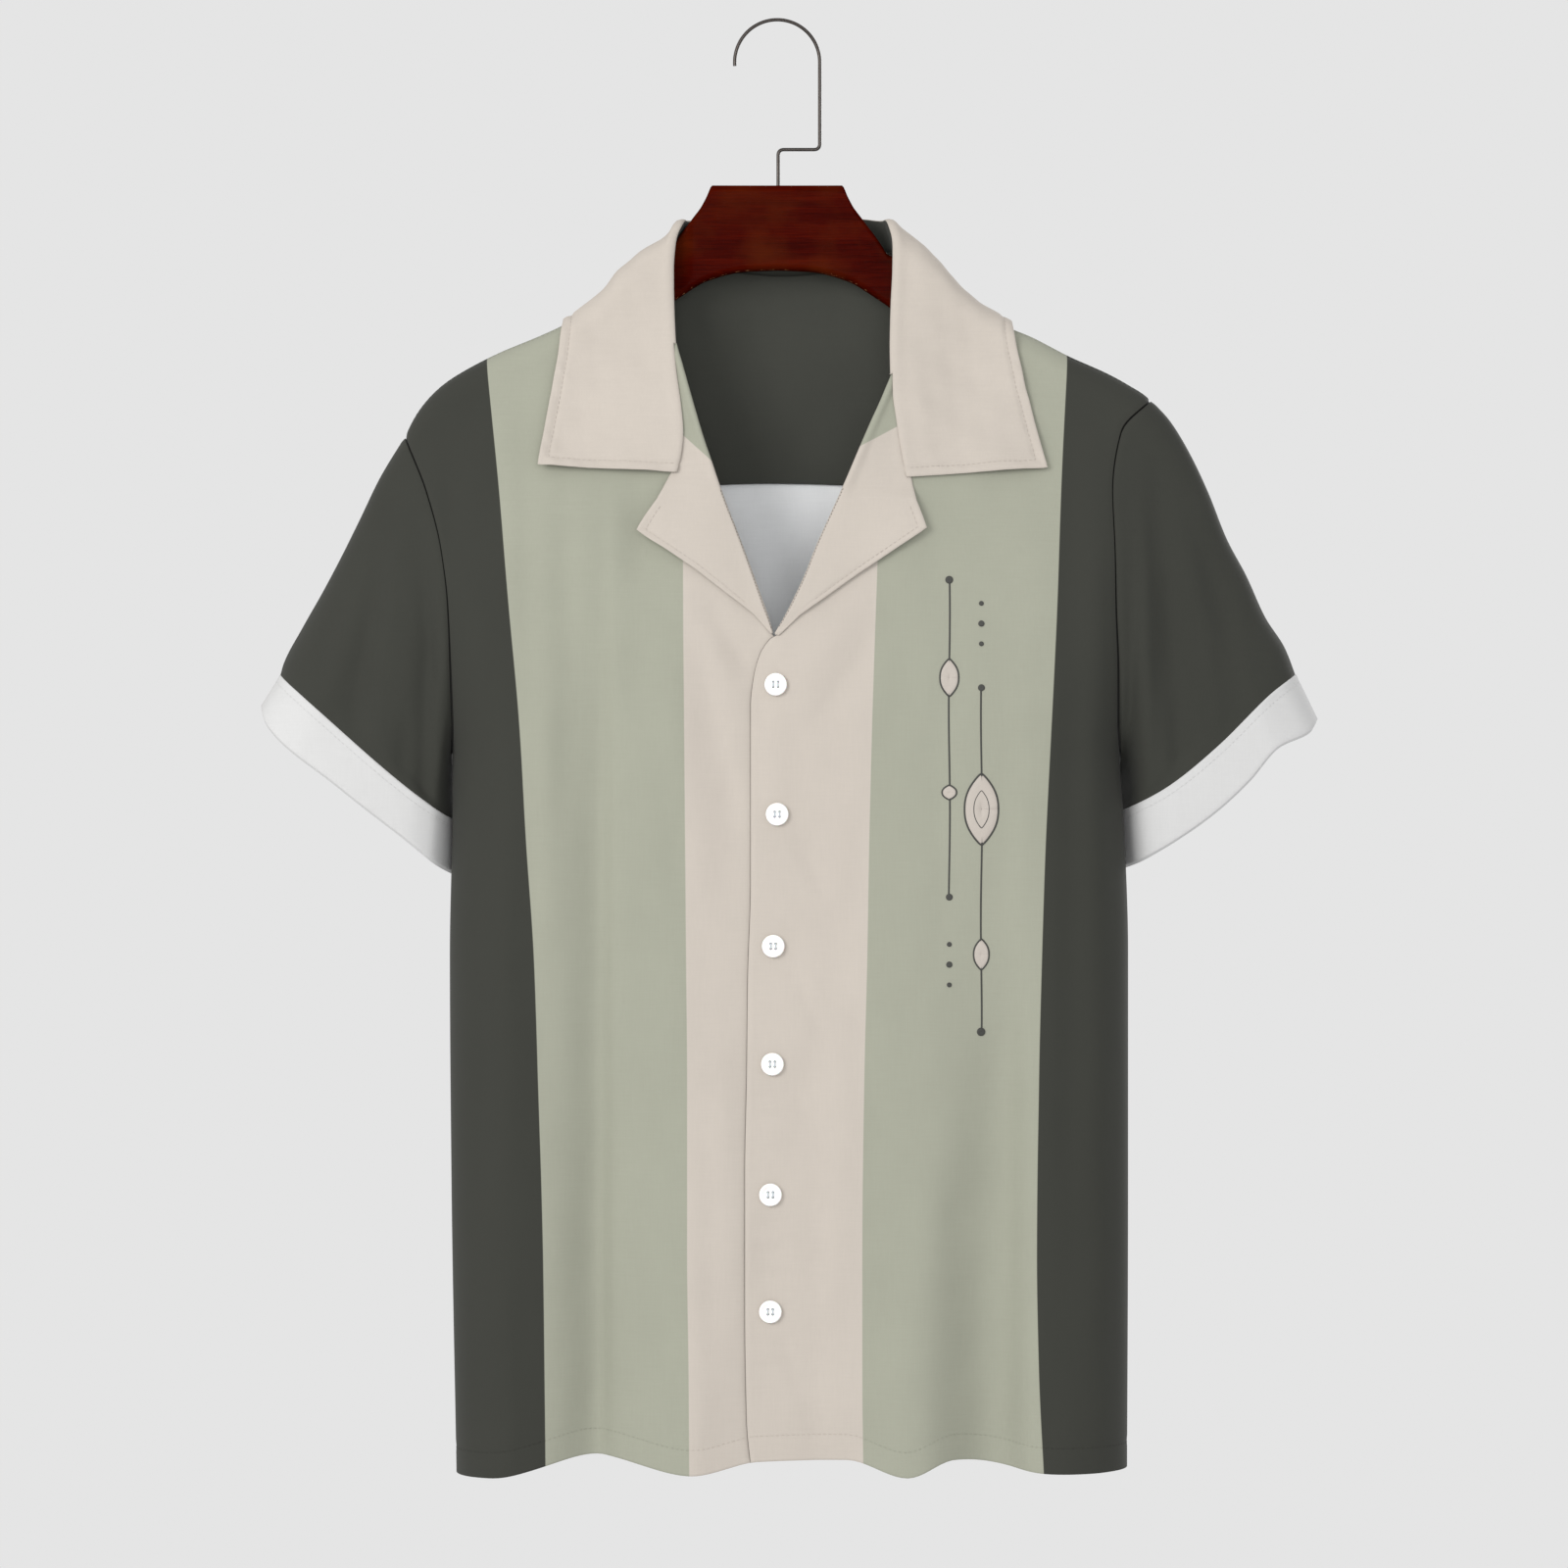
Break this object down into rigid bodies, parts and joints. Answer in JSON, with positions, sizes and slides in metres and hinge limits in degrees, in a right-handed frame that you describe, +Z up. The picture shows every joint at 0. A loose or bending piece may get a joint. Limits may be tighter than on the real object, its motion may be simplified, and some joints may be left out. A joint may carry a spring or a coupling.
{
  "type": "hawaiian shirt on a hanger",
  "caption": "Short-sleeved camp-collar shirt in vertical colour panels, buttoned and hanging on a wooden hanger with a wire hook.",
  "frame": {"origin": "inside top of the hook's bend, where a rod carries the hanger", "axes": "+Z up, the shirt's front faces -Y, the wearer's right is at -X; a rod runs along Y"},
  "size_m": [0.6343, 0.1039, 0.8737],
  "materials": {
    "front_cloth": "woven cloth printed in dark, sage and cream vertical bands, matte",
    "dark_cloth": "dark olive-grey woven cloth, matte",
    "cream_cloth": "cream woven cloth, matte",
    "white_cloth": "off-white woven cloth, matte",
    "button_resin": "off-white resin, satin gloss",
    "hanger_wood": "red-brown stained wood, glossy varnish",
    "hook_steel": "plain round steel wire"
  },
  "bodies": {
    "root": {"front_right": "front_cloth", "front_left": "front_cloth", "back": "dark_cloth", "yoke": "dark_cloth", "yoke_facing": "dark_cloth", "sleeve_right": "dark_cloth", "sleeve_left": "dark_cloth", "cuff_right": "white_cloth", "cuff_left": "white_cloth", "collar": "cream_cloth", "lapel_right": "cream_cloth", "lapel_left": "cream_cloth", "button_1": "button_resin", "button_2": "button_resin", "button_3": "button_resin", "button_4": "button_resin", "button_5": "button_resin", "button_6": "button_resin", "hanger_wood": "hanger_wood", "hanger_hook": "hook_steel"}
  },
  "joints": []
}
